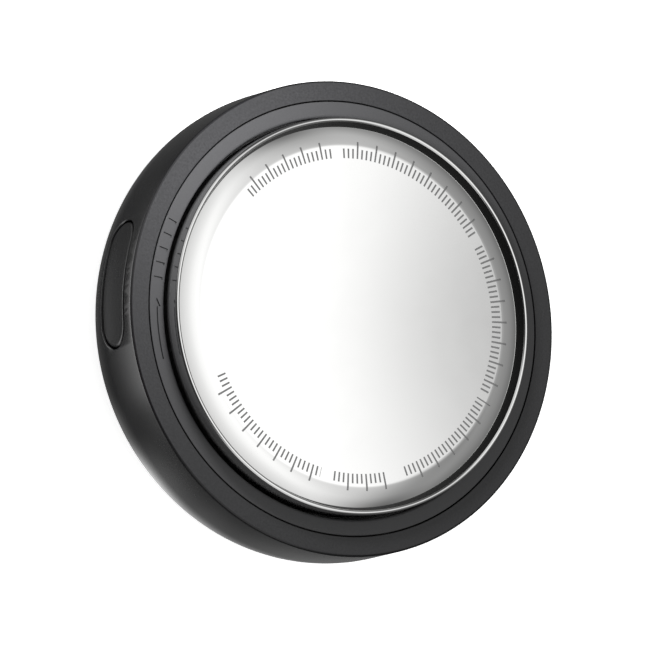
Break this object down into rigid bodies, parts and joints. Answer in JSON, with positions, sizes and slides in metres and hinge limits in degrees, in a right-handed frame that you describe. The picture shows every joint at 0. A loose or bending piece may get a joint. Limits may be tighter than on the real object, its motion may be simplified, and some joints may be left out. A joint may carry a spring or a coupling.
{
  "type": "bluetooth tracker tag",
  "caption": "Round pocket tracker tag: domed black plastic shell, flush side button, and a polished steel battery cover that twists off over a coin cell.",
  "frame": {"origin": "centre of the flat front face, on which the tag lies", "axes": "+Z from the front face to the steel battery cover, +X away from the side button, which is on the -X side"},
  "size_m": [0.032, 0.032, 0.0108],
  "materials": {
    "shell_plastic": "satin black moulded polycarbonate blend",
    "frame_plastic": "black polycarbonate blend, spark-eroded rim round a satin ring",
    "button_plastic": "satin black moulded key",
    "cover_steel": "mirror-polished stainless steel with fine etched ticks",
    "lug_ring_plastic": "black moulded ring with bayonet lugs",
    "foam": "black closed-cell foam",
    "seal_rubber": "black silicone",
    "adhesive": "black die-cut adhesive",
    "cell_steel": "nickel-plated steel cell can and cap",
    "cell_gasket_plastic": "translucent polypropylene grommet",
    "cell_core_mix": "pressed cathode, separator and lithium disc",
    "contact_spring": "gold-flashed spring steel",
    "board_laminate": "glass-epoxy laminate with dark solder mask",
    "screw_steel": "zinc-plated steel",
    "chip_epoxy": "moulded epoxy package",
    "crystal_can": "plated metal lid",
    "antenna_ceramic": "white ceramic",
    "capacitor_ceramic": "tan ceramic with tinned ends",
    "coil_ferrite": "grey ferrite",
    "switch_plastic": "black switch housing",
    "plunger_plastic": "light moulded plunger",
    "sounder_brass": "thin brass disc",
    "sounder_piezo": "silvered piezo ceramic"
  },
  "bodies": {
    "case": {"front_shell": "shell_plastic", "bay_frame": "frame_plastic", "cover_seal": "seal_rubber", "case_seal": "adhesive", "cell_can": "cell_steel", "cell_gasket": "cell_gasket_plastic", "cell_cap": "cell_steel", "cell_core": "cell_core_mix", "negative_contact": "contact_spring", "positive_contacts": "contact_spring", "circuit_board": "board_laminate", "board_screws": "screw_steel", "radio_chip": "chip_epoxy", "motion_sensor": "chip_epoxy", "sounder_driver": "chip_epoxy", "radio_crystal": "crystal_can", "sleep_crystal": "crystal_can", "chip_antenna": "antenna_ceramic", "capacitors": "capacitor_ceramic", "coils": "coil_ferrite", "switch_body": "switch_plastic", "sounder_plate": "sounder_brass", "sounder_ceramic": "sounder_piezo", "sounder_springs": "contact_spring"},
    "cover": {"battery_cover": "cover_steel", "cover_lug_ring": "lug_ring_plastic", "cover_pad": "foam"},
    "button": {"side_button": "button_plastic", "button_pad": "seal_rubber"},
    "plunger": {"switch_plunger": "plunger_plastic"}
  },
  "joints": [
    {"name": "cover_twist", "type": "hinge", "parent": "case", "child": "cover", "pos_m": [0, 0, 0.0085], "axis": [0, 0, 1], "range_deg": [0, 30]},
    {"name": "button_press", "type": "slide", "parent": "case", "child": "button", "axis": [1, 0, 0], "range_m": [0, 0.00025], "stiffness_N_per_m": 4000},
    {"name": "plunger_press", "type": "slide", "parent": "case", "child": "plunger", "axis": [1, 0, 0], "range_m": [0, 0.00025]}
  ],
  "couplings": [
    {"joint": "plunger_press", "follows": "button_press", "ratio": 1}
  ]
}
